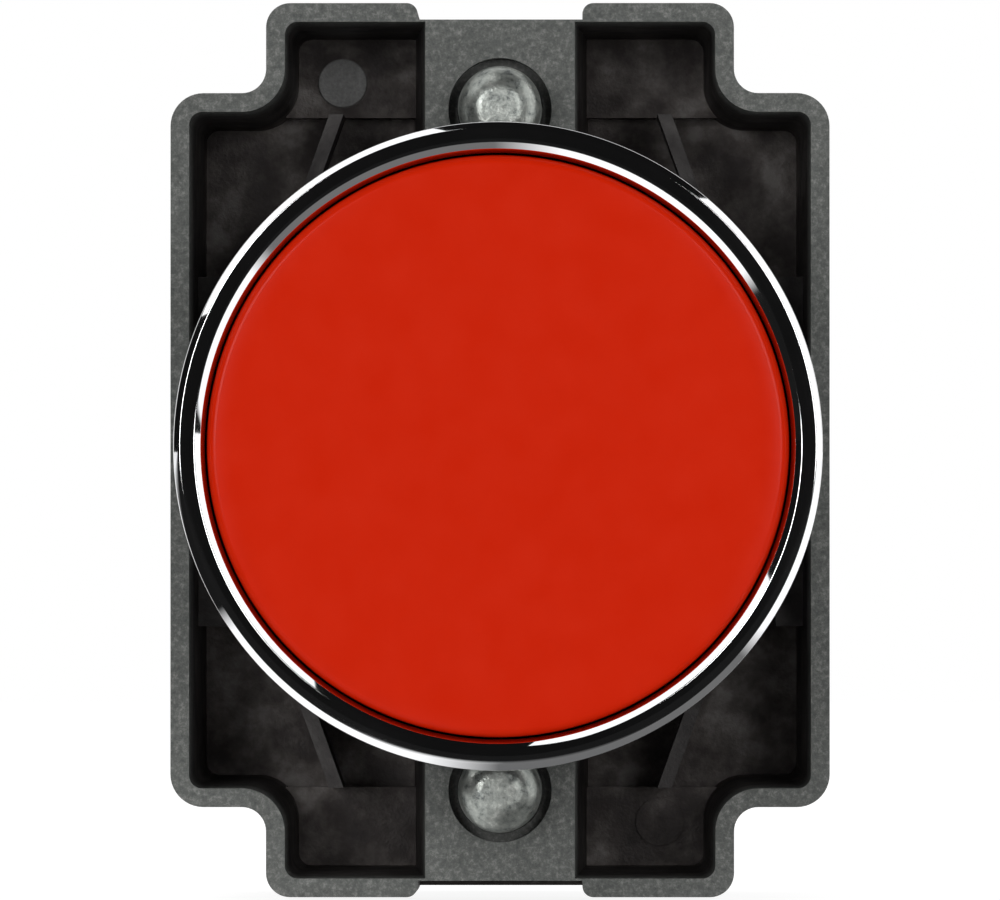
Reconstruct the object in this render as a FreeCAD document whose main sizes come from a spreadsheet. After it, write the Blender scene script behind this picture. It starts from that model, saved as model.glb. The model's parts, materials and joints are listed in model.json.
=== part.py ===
import FreeCAD, Part
import os
import re

import Sketcher

# Flush red stop push-button for a 22 mm panel hole: a chromed head, a die-cast fixing
# collar with two clamp screws, and two contact blocks (normally closed, normally open).
# Millimetres. X right, Z up, Y into the panel. The origin is on the button's axis, in the
# panel's front face. Every block part is modelled on the +X side; the normally closed
# block is the same block turned half round about Y.

DIMENSIONS = {
    # head
    "gasket_thick": 0.8,
    "gasket_clear": 1.3,
    "gasket_inset": 0.2,
    "bezel_radius": 14.5,
    "bezel_front": 9.0,
    "bezel_wall": 1.25,
    "bezel_outer_bevel": 0.4,
    "bezel_inner_bevel": 0.35,
    "bezel_bevel_depth": 0.6,
    "cup_floor": 2.0,
    "bezel_overhang": 3.5,
    "barrel_wall": 2.3,
    "barrel_bevel": 0.5,
    "flange_front": 8.5,
    "flange_back": 10.0,
    # bayonet between barrel and collar
    "lug_front": 8.75,
    "lug_thick": 1.5,
    "lug_reach": 1.2,
    "lug_half_angle": 12,
    "twist_angle": 45,
    "bayonet_play": 0.1,
    "bayonet_play_angle": 0.5,
    # button
    "cap_gap": 0.25,
    "cap_recess": 0.3,
    "cap_thick": 1.6,
    "cap_wall": 1.0,
    "cap_edge": 0.4,
    "cap_boss_length": 2.4,
    "cap_boss_play": 0.1,
    "travel": 4.3,
    "press_gap": 0.2,
    "stem_play": 0.08,
    "stem_wall": 0.67,
    "stem_top_thick": 1.4,
    "stem_skirt_end": 1.5,
    "spring_room": 2.7,
    "stem_core_wall": 1.4,
    "stem_bore_depth": 3.0,
    "neck_step": 1.0,
    "neck_groove_depth": 0.5,
    "stem_end_lip": 0.3,
    "foot_thick": 1.35,
    "foot_setback": 0.6,
    "clip_thick": 0.5,
    "clip_grip": 1.3,
    "clip_reach": 0.9,
    "seal_setback": 2.05,
    "seal_thick": 0.6,
    "spring_wire": 0.8,
    "spring_turns": 6,
    "rest_gap": 0.05,
    # fixing collar
    "collar_front": 6.5,
    "collar_depth": 12.0,
    "collar_floor": 1.5,
    "collar_margin": 0.5,
    "ear_rise": 4.1,
    "ear_height": 20.35,
    "ear_half_width": 10.65,
    "collar_wall": 0.85,
    "wall_draft": 3,
    "shoulder_round": 1.5,
    "ear_round": 1.1,
    "inner_round": 0.6,
    "notch_round": 0.5,
    "notch_margin": 0.35,
    "notch_depth": 0.75,
    "bar_half_width": 3.4,
    "bar_draft": 0.6,
    "hub_wall": 2.0,
    "hub_overlap": 0.4,
    "hub_setback": 1.5,
    "hub_play": 0.05,
    "ear_step_thick": 1.2,
    "rib_outer_x": 7.5,
    "rib_inner_x": 10.3,
    "rib_inner_height": 7.6,
    "rib_width": 0.65,
    "rib_thick": 7.0,
    "side_boss_height": 8.0,
    "side_boss_thick": 5.0,
    "ejector_x": 7.3,
    "ejector_inset": 3.35,
    "ejector_radius": 1.1,
    "ejector_raise": 0.15,
    # clamp screws, M4
    "clamp_inset": 0.75,
    "clamp_radius": 1.9,
    "clamp_play": 0.05,
    "clamp_tip_bevel": 0.4,
    "clamp_recess_radius": 2.35,
    "clamp_recess_depth": 1.2,
    "clamp_head_radius": 3.4,
    "clamp_head_thick": 2.2,
    "clamp_head_gap": 2.5,
    "clamp_slot": 1.0,
    "panel_thick": 3.0,
    # contact block
    "block_reach": 5.2,
    "block_width": 9.7,
    "block_height": 16.0,
    "block_depth": 24.0,
    "block_wall": 1.0,
    "block_front_wall": 1.2,
    "cover_thick": 1.2,
    "block_round": 0.5,
    "mechanism_height": 7.0,
    "screw_post_height": 1.9,
    "tip_half_width": 1.5,
    "tip_half_height": 2.2,
    "tip_play": 0.15,
    "carriage_half_width": 2.3,
    "carriage_half_height": 3.0,
    "carriage_play": 0.2,
    "carriage_length": 13.1,
    "window_play": 0.1,
    "bridge_half_width": 1.5,
    "bridge_half_height": 6.3,
    "bridge_thick": 0.8,
    "button_height": 4.8,
    "button_radius": 1.2,
    "button_thick": 0.6,
    "nc_contact_depth": 5.5,
    "no_contact_depth": 11.5,
    "no_gap": 2.6,
    "nc_lost_motion": 1.53,
    "contact_gap": 0.03,
    "nc_window_back": 12.5,
    "no_window_front": 2.9,
    "strip_thick": 0.8,
    "strip_half_width": 1.7,
    "strip_tip": 3.5,
    "terminal_room": 5.7,
    "terminal_depth": 17.5,
    "terminal_half_width": 3.2,
    "terminal_radius": 1.47,
    "terminal_play": 0.05,
    "terminal_hole": 2.0,
    "terminal_screw_reach": 5.5,
    "terminal_head_radius": 2.3,
    "terminal_head_thick": 1.8,
    "terminal_slot": 0.7,
    "wire_gap": 0.6,
    "saddle_half_height": 2.15,
    "saddle_thick": 0.8,
    "driver_hole": 2.6,
    "wire_entry_half_width": 2.8,
    "spring_boss_radius": 1.1,
    "spring_boss_thick": 1.0,
    "block_spring_radius": 1.6,
    "block_spring_wire": 0.45,
    "block_spring_turns": 6,
    "contact_spring_radius": 1.1,
    "contact_spring_wire": 0.4,
    "contact_spring_turns": 3.5,
    # block mounting screw, M2.5
    "mount_radius": 1.2,
    "mount_play": 0.05,
    "mount_head_radius": 1.8,
    "mount_head_thick": 1.4,
    "mount_reach": 4.0,
    "mount_slot": 0.6,
    # bevel on the tips of the M3 and M2.5 screws
    "small_tip_bevel": 0.3,
}

DERIVED = {
    "cup_radius": "bezel_radius - bezel_wall",
    "barrel_radius": "bezel_radius - bezel_overhang",
    "gasket_inner": "barrel_radius + gasket_clear",
    "gasket_outer": "bezel_radius - gasket_inset",
    "bore_radius": "barrel_radius - barrel_wall",
    "stem_core_radius": "bore_radius - spring_room",
    "stem_bore": "stem_core_radius - stem_core_wall",
    "flange_bore": "stem_core_radius + stem_play",
    "seal_inner": "bore_radius + stem_play / 2",
    "seal_outer": "cup_radius - seal_setback",
    "cap_front": "cap_recess - bezel_front",
    "cap_radius": "cup_radius - cap_gap",
    "cap_skirt": "bezel_front - cap_recess - cup_floor - travel - press_gap",
    "cap_boss_radius": "stem_bore - cap_boss_play",
    "stem_top": "cap_front + cap_thick",
    "stem_radius": "bore_radius - stem_play",
    "spring_front": "stem_top + stem_top_thick",
    "spring_radius": "(stem_core_radius + stem_radius - stem_wall) / 2",
    "neck_radius": "stem_core_radius - neck_step",
    "neck_groove_radius": "neck_radius - neck_groove_depth",
    "foot_bore": "neck_radius + contact_gap",
    "foot_radius": "barrel_radius - foot_setback",
    "foot_front": "barrel_length + rest_gap",
    "foot_back": "foot_front + foot_thick",
    "clip_inner": "neck_groove_radius + rest_gap",
    "clip_outer": "neck_radius + clip_reach",
    "clip_mouth": "neck_groove_radius - clip_grip",
    "clip_back": "foot_back + clip_thick",
    "barrel_length": "collar_back - travel - foot_thick - clip_thick - stem_end_lip - rest_gap",
    "lug_inner": "barrel_radius - lug_reach",
    "hub_bore": "barrel_radius + hub_play",
    "hub_radius": "barrel_radius + hub_wall",
    "collar_back": "collar_front + collar_depth",
    "collar_half_width": "bezel_radius + collar_margin",
    "shoulder_height": "ear_height - ear_rise",
    "ejector_height": "ear_height - ejector_inset",
    "clamp_height": "shoulder_height - clamp_inset",
    "pan_floor": "collar_back - collar_floor",
    "ear_floor": "pan_floor - ear_step_thick",
    "ear_step_height": "shoulder_height - collar_wall",
    "notch_half_width": "bar_half_width + notch_margin",
    "bar_height": "ear_height - notch_depth",
    "bar_base_half_width": "bar_half_width + bar_draft",
    "side_boss_inner": "hub_radius - hub_overlap",
    "block_inner": "foot_radius - block_reach",
    "block_outer": "block_inner + block_width",
    "block_inside": "collar_back + block_front_wall",
    "block_back": "collar_back + block_depth",
    "cover_front": "block_back - cover_thick",
    "left_wall": "block_inner + block_wall",
    "right_wall": "block_outer - block_wall",
    "mid_x": "left_wall + carriage_play + carriage_half_width",
    "carriage_front": "block_inside + carriage_play",
    "carriage_back": "carriage_front + carriage_length",
    "window_half_width": "bridge_half_width + window_play",
    "screw_post_x": "mid_x + carriage_half_width + carriage_play",
    "mount_x": "(screw_post_x + block_outer) / 2",
    "mount_hole": "mount_radius + mount_play",
    "terminal_back": "collar_back + terminal_depth",
    "terminal_front": "terminal_back - strip_thick",
    "terminal_end": "block_height - block_wall",
    "riser_outer": "block_height - terminal_room",
    "terminal_x": "(block_inner + block_outer) / 2",
    "terminal_height": "(riser_outer + terminal_end) / 2",
    "terminal_thread": "terminal_radius + terminal_play",
    "saddle_front": "terminal_back + wire_gap",
    "saddle_back": "saddle_front + saddle_thick",
}

# degrees each block is turned about Y from the +X side
TURNS = {"nc": 180, "no": 0}
# millimetres: an edge shorter than this isn't one that runs front to back
SHORTEST_DEPTH_EDGE = 1
# a spring is swept in faces of this many turns, which mesh cleanly
TURNS_IN_A_FACE = 1
# millimetres: two places nearer than this are the same place
SAME_PLACE = 1e-4
PARTS = []

document = FreeCAD.newDocument("stop_button")


def driving_sheet():
    """Put every driving dimension in the sheet, under its own alias."""
    sheet = document.addObject("Spreadsheet::Sheet", "dims")
    for row, (alias, size) in enumerate(DIMENSIONS.items(), start=1):
        sheet.set("A%d" % row, alias)
        sheet.set("B%d" % row, str(size))
        sheet.setAlias("B%d" % row, alias)
    document.recompute()
    return sheet


def bound(expression):
    """Turn plain words such as "bezel_radius - cap_gap" into references to the sheet."""
    return re.sub(r"[a-z_]+", reference, expression)


def reference(word):
    """A sheet reference for a driving dimension, or a derived size worked out from them."""
    if word.group() in DERIVED:
        return "(%s)" % bound(DERIVED[word.group()])
    return "dims." + word.group()


def number(expression):
    """The present value of an expression, to place a sketch's geometry before it is bound."""
    return float(SHEET.evalExpression(bound(expression)))


def negative(expression):
    return "0 - (%s)" % expression


def rectangle(left, right, low, high):
    return [(left, low), (right, low), (right, high), (left, high)]


def flipped(loop, across="z"):
    """The same loop on the other side of an axis."""
    if across == "z":
        return [(x, negative(z)) for x, z in loop]
    return [(negative(x), z) for x, z in loop]


def both_ends(loop):
    """A loop above the centre line and its twin below it."""
    return [loop, flipped(loop)]


def four_ways(loop):
    """A loop in each of the four quarters."""
    return both_ends(loop) + [flipped(twin, "x") for twin in both_ends(loop)]


def above_and_below(x, z, radius):
    """A circle above the centre line and its twin below it."""
    return [(x, z, radius), (x, negative(z), radius)]


def new_body(label):
    body = document.addObject("PartDesign::Body", label)
    body.Label = label
    PARTS.append(body)
    return body


def draw(body, name, plane_role, loops, circles=(), offset="0", turn="0"):
    """Draw loops of straight lines and circles on one of the body's origin planes."""
    plane = [item for item in body.Origin.OriginFeatures if item.Role == plane_role][0]
    sketch = body.newObject("Sketcher::SketchObject", name)
    sketch.AttachmentSupport = [(plane, "")]
    sketch.MapMode = "FlatFace"
    sketch.setExpression("AttachmentOffset.Base.z", bound(offset))
    if turn != "0":
        sketch.AttachmentOffset = FreeCAD.Placement(
            FreeCAD.Vector(0, 0, 0), FreeCAD.Rotation(FreeCAD.Vector(0, 1, 0), number(turn))
        )
        sketch.setExpression("AttachmentOffset.Rotation.Angle", bound(turn))
    for loop in loops:
        first = sketch.GeometryCount
        corners = [FreeCAD.Vector(number(x), number(y), 0) for x, y in loop]
        for start, end in zip(corners, corners[1:] + corners[:1]):
            sketch.addGeometry(Part.LineSegment(start, end), False)
        for index in range(len(loop)):
            following = first + (index + 1) % len(loop)
            sketch.addConstraint(
                Sketcher.Constraint("Coincident", first + index, 2, following, 1)
            )
        for index, (x, y) in enumerate(loop):
            place(sketch, first + index, 1, x, y)
    for x, y, radius in circles:
        centre = FreeCAD.Vector(number(x), number(y), 0)
        axis = FreeCAD.Vector(0, 0, 1)
        circle = sketch.addGeometry(Part.Circle(centre, axis, number(radius)), False)
        place(sketch, circle, 3, x, y)
        row = sketch.addConstraint(Sketcher.Constraint("Radius", circle, number(radius)))
        sketch.setExpression("Constraints[%d]" % row, bound(radius))
    return sketch


def place(sketch, geometry, point, x, y):
    """Bind a sketch point's two coordinates to expressions."""
    for kind, expression in (("DistanceX", x), ("DistanceY", y)):
        constraint = Sketcher.Constraint(kind, -1, 1, geometry, point, number(expression))
        row = sketch.addConstraint(constraint)
        sketch.setExpression("Constraints[%d]" % row, bound(expression))


def turned(body, name, profile):
    """Turn a profile of (radius, depth) points once round the Y axis."""
    sketch = draw(body, name + "_profile", "XY_Plane", [profile])
    feature = body.newObject("PartDesign::Revolution", name)
    feature.Profile = sketch
    feature.ReferenceAxis = (sketch, ["V_Axis"])
    feature.Angle = 360
    return feature


def swept(body, name, kind, profile, start, sweep):
    """Add or cut two opposite sectors of a ring, from one angle about Y through another."""
    for half in (0, 180):
        turn = "%s + %d" % (start, half)
        sketch = draw(body, "%s_profile_%d" % (name, half), "XY_Plane", [profile], turn=turn)
        feature = body.newObject("PartDesign::" + kind, "%s_%d" % (name, half))
        feature.Profile = sketch
        feature.ReferenceAxis = (sketch, ["V_Axis"])
        feature.setExpression("Angle", bound(sweep))


def pad(body, name, front, back, loops, circles=()):
    """Add material between two depths."""
    sketch = draw(body, name + "_outline", "XZ_Plane", loops, circles, negative(front))
    feature = body.newObject("PartDesign::Pad", name)
    feature.Profile = sketch
    feature.Reversed = True
    feature.setExpression("Length", bound("%s - (%s)" % (back, front)))
    return feature


def pocket(body, name, front, back, loops, circles=()):
    """Cut material away between two depths, and check that something was cut."""
    before = solid_volume(body)
    sketch = draw(body, name + "_outline", "XZ_Plane", loops, circles, negative(front))
    feature = body.newObject("PartDesign::Pocket", name)
    feature.Profile = sketch
    feature.setExpression("Length", bound("%s - (%s)" % (back, front)))
    document.recompute()
    if body.Tip.Shape.Volume >= before:
        raise RuntimeError("%s cuts nothing from %s" % (name, body.Label))
    return feature


def solid_volume(body):
    document.recompute()
    return body.Tip.Shape.Volume


def close(one, other):
    return abs(one - other) < SAME_PLACE


def depth_edges(shape, corners):
    """Names of the edges that run front to back from any of the given (x, z) corners."""
    names = []
    for index, edge in enumerate(shape.Edges, start=1):
        ends = sorted((vertex.Point for vertex in edge.Vertexes), key=lambda point: point.y)
        if ends[-1].y - ends[0].y < SHORTEST_DEPTH_EDGE:
            continue
        if any(close(abs(ends[0].x), x) and close(abs(ends[0].z), z) for x, z in corners):
            names.append("Edge%d" % index)
    return names


def round_corners(body, name, corners, radius):
    """Round the edges along Y that stand at the given corners, in all four quarters."""
    document.recompute()
    places = [(number(x), number(z)) for x, z in corners]
    base = body.Tip
    names = depth_edges(base.Shape, places)
    feature = body.newObject("PartDesign::Fillet", name)
    feature.Base = (base, names)
    feature.setExpression("Radius", bound(radius))
    document.recompute()
    return feature


def coil(label, kind, front, back, at_x):
    """A compression spring along Y between two seats, as a swept round wire."""
    radius, wire, turns = ("%s_%s" % (kind, size) for size in ("radius", "wire", "turns"))
    height = "%s - (%s) - %s" % (back, front, wire)
    helix = document.addObject("Part::Helix", label + "_path")
    helix.setExpression("Radius", bound(radius))
    helix.setExpression("Height", bound(height))
    helix.setExpression("Pitch", bound("(%s) / %s" % (height, turns)))
    helix.SegmentLength = TURNS_IN_A_FACE
    section = document.addObject("Part::Circle", label + "_section")
    section.setExpression("Radius", bound("%s / 2" % wire))
    section.setExpression("Placement.Base.x", bound(radius))
    section.Placement.Rotation = FreeCAD.Rotation(FreeCAD.Vector(1, 0, 0), 90)
    spring = document.addObject("Part::Sweep", label)
    spring.Label = label
    spring.Sections = [section]
    spring.Spine = (helix, [])
    spring.Solid = True
    spring.Frenet = True
    document.recompute()
    spring.Placement.Rotation = FreeCAD.Rotation(FreeCAD.Vector(1, 0, 0), -90)
    spring.setExpression("Placement.Base.x", bound(at_x))
    spring.setExpression("Placement.Base.y", bound("%s + %s / 2" % (front, wire)))
    PARTS.append(spring)


def bezel_barrel():
    """Chromed bezel cup and barrel in one turned casting, with the bayonet cut in it."""
    body = new_body("bezel_barrel")
    rim = "0 - bezel_front"
    turned(body, "turning", [
        ("bezel_radius", "0 - gasket_thick"),
        ("bezel_radius", "bezel_bevel_depth - bezel_front"),
        ("bezel_radius - bezel_outer_bevel", rim),
        ("cup_radius + bezel_inner_bevel", rim),
        ("cup_radius", "bezel_bevel_depth - bezel_front"),
        ("cup_radius", "0 - cup_floor"),
        ("bore_radius", "0 - cup_floor"),
        ("bore_radius", "flange_front"),
        ("flange_bore", "flange_front"),
        ("flange_bore", "flange_back"),
        ("bore_radius", "flange_back"),
        ("bore_radius", "barrel_length"),
        ("barrel_radius - barrel_bevel", "barrel_length"),
        ("barrel_radius", "barrel_length - barrel_bevel"),
        ("barrel_radius", "0 - gasket_thick"),
    ])
    front = "lug_front - bayonet_play"
    back = "lug_front + lug_thick + bayonet_play"
    bottom = "lug_inner - bayonet_play"
    margin = "lug_half_angle + bayonet_play_angle"
    track = rectangle(bottom, "bezel_radius", front, back)
    entry_bottom = bottom + " - bayonet_play"
    entry_margin = margin + " + bayonet_play_angle"
    entry_front = front + " + lug_thick / 2"
    entry = rectangle(entry_bottom, "bezel_radius", entry_front, "barrel_length + barrel_bevel")
    before = solid_volume(body)
    swept(body, "locking_track", "Groove", track, "0 - (%s)" % margin,
          "2 * (%s) + twist_angle" % margin)
    middle = solid_volume(body)
    swept(body, "entry_slots", "Groove", entry, "twist_angle - (%s)" % entry_margin,
          "2 * (%s)" % entry_margin)
    if not before > middle > solid_volume(body):
        raise RuntimeError("a bayonet groove cuts nothing")


def button_cap():
    """Flat red cap with a rounded edge, a short skirt and a boss for the stem."""
    body = new_body("button_cap")
    turned(body, "turning", [
        ("0", "cap_front"),
        ("cap_radius", "cap_front"),
        ("cap_radius", "cap_front + cap_skirt"),
        ("cap_radius - cap_wall", "cap_front + cap_skirt"),
        ("cap_radius - cap_wall", "stem_top"),
        ("cap_boss_radius", "stem_top"),
        ("cap_boss_radius", "stem_top + cap_boss_length"),
        ("0", "stem_top + cap_boss_length"),
    ])
    document.recompute()
    base = body.Tip
    front = number("cap_front")
    edge = [
        "Edge%d" % index for index, item in enumerate(base.Shape.Edges, start=1)
        if close(item.BoundBox.YMin, front) and close(item.BoundBox.YMax, front)
    ]
    fillet = body.newObject("PartDesign::Fillet", "edge_round")
    fillet.Base = (base, edge)
    fillet.setExpression("Radius", bound("cap_edge"))


def push_stem():
    """Hollow plunger: a skirted head that guides in the bore, and a core through the flange."""
    body = new_body("push_stem")
    turned(body, "turning", [
        ("stem_bore", "stem_top"),
        ("stem_radius", "stem_top"),
        ("stem_radius", "stem_skirt_end"),
        ("stem_radius - stem_wall", "stem_skirt_end"),
        ("stem_radius - stem_wall", "spring_front"),
        ("stem_core_radius", "spring_front"),
        ("stem_core_radius", "foot_front"),
        ("neck_radius", "foot_front"),
        ("neck_radius", "foot_back"),
        ("neck_groove_radius", "foot_back"),
        ("neck_groove_radius", "clip_back"),
        ("neck_radius", "clip_back"),
        ("neck_radius", "clip_back + stem_end_lip"),
        ("0", "clip_back + stem_end_lip"),
        ("0", "stem_top + stem_bore_depth"),
        ("stem_bore", "stem_top + stem_bore_depth"),
    ])


def stem_clip():
    """Open spring-steel ring that keeps the foot on the stem."""
    body = new_body("stem_clip")
    turned(body, "turning", rectangle("clip_inner", "clip_outer", "foot_back", "clip_back"))
    mouth = rectangle("0 - clip_mouth", "clip_mouth", "0 - 2 * clip_outer", "0 - clip_inner / 2")
    pocket(body, "mouth", "foot_back", "clip_back", [mouth])


def ring(label, inner, outer, front, back):
    """A plain ring of rectangular section."""
    body = new_body(label)
    turned(body, "turning", rectangle(inner, outer, front, back))


def fixing_collar():
    """Die-cast pan that twists on to the barrel and carries the screws and the blocks."""
    body = new_body("fixing_collar")
    outline = [
        ("notch_half_width", "bar_height"),
        ("notch_half_width", "ear_height"),
        ("ear_half_width", "ear_height"),
        ("ear_half_width", "shoulder_height"),
        ("collar_half_width", "shoulder_height"),
    ]
    inside = [
        ("ear_half_width - collar_wall", "ear_height - collar_wall"),
        ("ear_half_width - collar_wall", "shoulder_height - collar_wall"),
        ("collar_half_width - collar_wall", "shoulder_height - collar_wall"),
    ]
    pad(body, "block", "collar_front", "collar_back", [whole_loop(outline)])
    pan = pocket(body, "pan", "collar_front", "pan_floor", [whole_loop(inside)])
    pan.setExpression("TaperAngle", bound("0 - wall_draft"))
    document.recompute()
    round_corners(body, "shoulder_rounds", outline[4:], "shoulder_round")
    round_corners(body, "ear_rounds", outline[2:4], "ear_round")
    round_corners(body, "notch_rounds", outline[1:2], "notch_round")
    round_corners(body, "inner_rounds", [inside[0], inside[2]], "inner_round")
    round_corners(body, "inner_elbows", inside[1:2], "ear_round + collar_wall")
    bars(body)
    hub_front = "collar_front + hub_setback"
    pad(body, "hub", hub_front, "pan_floor", [], [("0", "0", "hub_radius")])
    ear_wall = "ear_height - collar_wall / 2"
    step = rectangle("0", "ear_half_width - collar_wall / 2", "ear_step_height", ear_wall)
    pad(body, "ear_steps", "ear_floor", "pan_floor", four_ways(step))
    side_wall = "collar_half_width - collar_wall / 2"
    boss = rectangle("side_boss_inner", side_wall, "0 - side_boss_height", "side_boss_height")
    side_bosses = [boss, flipped(boss, "x")]
    pad(body, "side_bosses", "pan_floor - side_boss_thick", "pan_floor", side_bosses)
    rib = [
        ("rib_outer_x - rib_width / 2", "ear_step_height"),
        ("rib_outer_x + rib_width / 2", "ear_step_height"),
        ("rib_inner_x + rib_width / 2", "rib_inner_height"),
        ("rib_inner_x - rib_width / 2", "rib_inner_height"),
    ]
    pad(body, "ribs", "pan_floor - rib_thick", "pan_floor", four_ways(rib))
    marks = [
        ("0 - ejector_x", "ejector_height", "ejector_radius"),
        ("ejector_x", "0 - ejector_height", "ejector_radius"),
    ]
    pad(body, "ejector_marks", "ear_floor - ejector_raise", "ear_floor", [], marks)
    pocket(body, "bore", "collar_front", "collar_back", [], [("0", "0", "hub_bore")])
    clamps = above_and_below("0", "clamp_height", "clamp_radius + clamp_play")
    pocket(body, "clamp_holes", "collar_front", "collar_back", [], clamps)
    recesses = above_and_below("0", "clamp_height", "clamp_recess_radius")
    recess_back = "collar_front + clamp_recess_depth"
    pocket(body, "clamp_recesses", "collar_front", recess_back, [], recesses)
    threads = [("mount_x", "0", "mount_hole"), ("0 - mount_x", "0", "mount_hole")]
    thread_front = "collar_back - mount_reach - mount_play"
    pocket(body, "mount_holes", thread_front, "collar_back", [], threads)
    lug = rectangle("lug_inner", "hub_bore + collar_wall", "lug_front", "lug_front + lug_thick")
    swept(body, "lugs", "Revolution", lug, "0 - lug_half_angle", "2 * lug_half_angle")


def whole_loop(quarter):
    """Close a quarter outline, listed from the top middle to the right, in four quarters."""
    right = quarter + [(x, negative(z)) for x, z in reversed(quarter)]
    return right + [(negative(x), z) for x, z in reversed(right)]


def bars(body):
    """One drafted bar from end to end; the hub bore later parts it in two."""
    sketch = draw(body, "bar_section", "XY_Plane", [[
        ("0 - bar_half_width", "collar_front"),
        ("bar_half_width", "collar_front"),
        ("bar_base_half_width", "pan_floor"),
        ("0 - bar_base_half_width", "pan_floor"),
    ]])
    feature = body.newObject("PartDesign::Pad", "bars")
    feature.Profile = sketch
    feature.Midplane = True
    feature.setExpression("Length", bound("2 * bar_height"))


def screw(label, tip, under_head, radius, head_radius, head_thick, slot, bevel, at_x, at_z):
    """A slotted cheese-head screw along Y, with its tip to the front."""
    body = new_body(label)
    head_back = "%s + %s" % (under_head, head_thick)
    turned(body, "turning", [
        ("0", tip),
        ("%s - %s" % (radius, bevel), tip),
        (radius, "%s + %s" % (tip, bevel)),
        (radius, under_head),
        (head_radius, under_head),
        (head_radius, head_back),
        ("0", head_back),
    ])
    half = "%s / 2" % slot
    across = rectangle(negative(half), half, negative(head_radius), head_radius)
    pocket(body, "driver_slot", "%s - %s / 2" % (head_back, head_thick), head_back, [across])
    body.setExpression("Placement.Base.x", bound(at_x))
    body.setExpression("Placement.Base.z", bound(at_z))


def clamp_screw(end, at_z):
    """M4 clamp screw: its tip bears on the back of the panel."""
    screw("clamp_screw_" + end, "panel_thick", "collar_back + clamp_head_gap", "clamp_radius",
          "clamp_head_radius", "clamp_head_thick", "clamp_slot", "clamp_tip_bevel", "0", at_z)


def turned_block(body, side):
    """Turn a part of the normally closed block half round about the button's axis."""
    body.Placement = FreeCAD.Placement(
        FreeCAD.Vector(0, 0, 0), FreeCAD.Rotation(FreeCAD.Vector(0, 1, 0), TURNS[side])
    )


def on_its_side(x, side):
    """An x on the +X side, or its opposite for the turned block."""
    return negative(x) if TURNS[side] else x


def contact_face(side):
    """Depth of the fixed contact face that the moving contact meets."""
    return "collar_back + %s_contact_depth" % side


def arm_front(side):
    """Depth of the front of the fixed strip's inner arm."""
    if side == "nc":
        return contact_face(side) + " - button_thick - strip_thick"
    return contact_face(side) + " + button_thick"


def block_outline():
    return rectangle("block_inner", "block_outer", "0 - block_height", "block_height")


def block_corners():
    return [("block_inner", "block_height"), ("block_outer", "block_height")]


def block_housing(side):
    """Moulded case, open at the back, with a shelf for each terminal."""
    body = new_body(side + "_housing")
    pad(body, "case", "collar_back", "cover_front", [block_outline()])
    round_corners(body, "case_rounds", block_corners(), "block_round")
    mechanism = rectangle("left_wall", "right_wall", "0 - mechanism_height", "mechanism_height")
    pocket(body, "mechanism", "block_inside", "cover_front", [mechanism])
    run = rectangle("left_wall", "right_wall", "mechanism_height - block_wall", "riser_outer")
    pocket(body, "strip_runs", arm_front(side), "cover_front", both_ends(run))
    chamber = rectangle("left_wall", "right_wall", "riser_outer - block_wall", "terminal_end")
    pocket(body, "terminal_chambers", "terminal_front", "cover_front", both_ends(chamber))
    half_width = "wire_entry_half_width"
    entry = rectangle("terminal_x - " + half_width, "terminal_x + " + half_width,
                      "terminal_end - block_wall", "block_height + block_wall")
    pocket(body, "wire_entries", "terminal_front", "cover_front", both_ends(entry))
    holes = above_and_below("terminal_x", "terminal_height", "terminal_hole")
    hole_front = "terminal_back - terminal_screw_reach - block_wall"
    pocket(body, "screw_holes", hole_front, "cover_front", [], holes)
    half_width = "tip_half_width + tip_play"
    half_height = "tip_half_height + tip_play"
    tip = rectangle("mid_x - (%s)" % half_width, "mid_x + %s" % half_width,
                    negative(half_height), half_height)
    pocket(body, "plunger_hole", "collar_back", "block_inside", [tip])
    post = rectangle("screw_post_x", "right_wall + block_wall / 2",
                     "0 - screw_post_height", "screw_post_height")
    pad(body, "screw_post", "collar_back", "cover_front", [post])
    pocket(body, "mount_hole", "collar_back", "cover_front", [], [("mount_x", "0", "mount_hole")])
    turned_block(body, side)


def block_cover(side):
    """Back cover with driver holes, and a boss that centres the return spring."""
    body = new_body(side + "_cover")
    pad(body, "plate", "cover_front", "block_back", [block_outline()])
    round_corners(body, "plate_rounds", block_corners(), "block_round")
    boss = [("mid_x", "0", "spring_boss_radius")]
    pad(body, "spring_boss", "cover_front - spring_boss_thick", "cover_front", [], boss)
    holes = above_and_below("terminal_x", "terminal_height", "driver_hole")
    holes.append(("mount_x", "0", "mount_hole"))
    pocket(body, "screw_holes", "cover_front", "block_back", [], holes)
    turned_block(body, side)


def window(side):
    """Front and back of the carriage's window, and the front of the bridge, at rest."""
    if side == "nc":
        bridge_front = contact_face(side) + " + contact_gap + button_thick"
        window_back = "collar_back + nc_window_back"
        return bridge_front + " - nc_lost_motion", window_back, bridge_front
    bridge_front = contact_face(side) + " - no_gap - button_thick - bridge_thick"
    window_back = bridge_front + " + bridge_thick + contact_gap"
    return "collar_back + no_window_front", window_back, bridge_front


def plunger(side):
    """Plunger tip and windowed carriage; its colour tells the kind of contact."""
    body = new_body(side + "_plunger")
    tip = rectangle("mid_x - tip_half_width", "mid_x + tip_half_width",
                    "0 - tip_half_height", "tip_half_height")
    pad(body, "tip", "foot_back + rest_gap", "carriage_front", [tip])
    carriage = rectangle("mid_x - carriage_half_width", "mid_x + carriage_half_width",
                         "0 - carriage_half_height", "carriage_half_height")
    pad(body, "carriage", "carriage_front", "carriage_back", [carriage])
    half_height = "carriage_half_height + carriage_play"
    opening = rectangle("mid_x - window_half_width", "mid_x + window_half_width",
                        negative(half_height), half_height)
    window_front, window_back, _ = window(side)
    pocket(body, "window", window_front, window_back, [opening])
    turned_block(body, side)


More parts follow.
